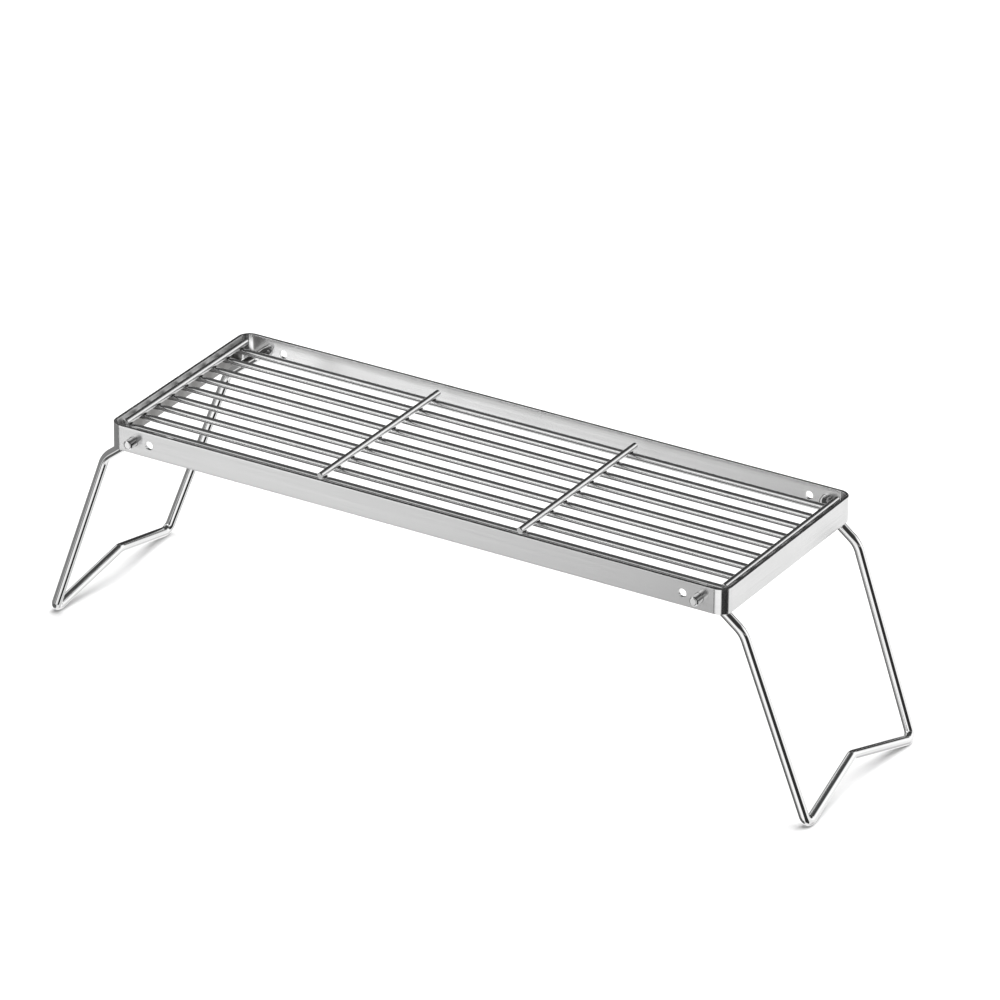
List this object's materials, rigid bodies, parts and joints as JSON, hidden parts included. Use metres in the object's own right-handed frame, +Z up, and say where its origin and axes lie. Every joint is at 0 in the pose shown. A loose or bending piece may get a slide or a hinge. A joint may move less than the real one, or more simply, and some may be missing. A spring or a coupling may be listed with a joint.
{
  "type": "folding camp grill",
  "caption": "Low folding camp grill: a rectangular flat-bar band holds a welded grid of round rods, and bent wire legs swing out at both ends.",
  "frame": {"origin": "on the ground under the centre of the grill, with both legs open", "axes": "+Z up, +X along the grill towards the right leg, +Y from the front long side to the rear one"},
  "size_m": [0.5238, 0.163, 0.144],
  "materials": {
    "band_steel": "satin brushed stainless flat bar",
    "rod_steel": "polished stainless rod",
    "leg_steel": "bright polished stainless wire",
    "weld_steel": "pickled weld metal"
  },
  "bodies": {
    "grate": {"band": "band_steel", "band_seam_weld": "weld_steel", "grate_rod_1": "rod_steel", "grate_rod_2": "rod_steel", "grate_rod_3": "rod_steel", "grate_rod_4": "rod_steel", "grate_rod_5": "rod_steel", "grate_rod_6": "rod_steel", "grate_rod_7": "rod_steel", "grate_rod_8": "rod_steel", "grate_rod_9": "rod_steel", "cross_rod_left": "rod_steel", "cross_rod_right": "rod_steel", "end_rod_left": "rod_steel", "end_rod_right": "rod_steel", "cross_rod_welds_left": "weld_steel", "cross_rod_welds_right": "weld_steel", "end_rod_welds_left": "weld_steel", "end_rod_welds_right": "weld_steel", "rod_end_welds_left": "weld_steel", "rod_end_welds_right": "weld_steel"},
    "left_leg": {"leg_left": "leg_steel"},
    "right_leg": {"leg_right": "leg_steel"}
  },
  "joints": [
    {"name": "left_leg_fold", "type": "hinge", "parent": "grate", "child": "left_leg", "pos_m": [-0.1925, 0, 0.13599], "axis": [0, -1, 0], "range_deg": [0, 115]},
    {"name": "right_leg_fold", "type": "hinge", "parent": "grate", "child": "right_leg", "pos_m": [0.1925, 0, 0.13599], "axis": [0, 1, 0], "range_deg": [0, 115]}
  ]
}
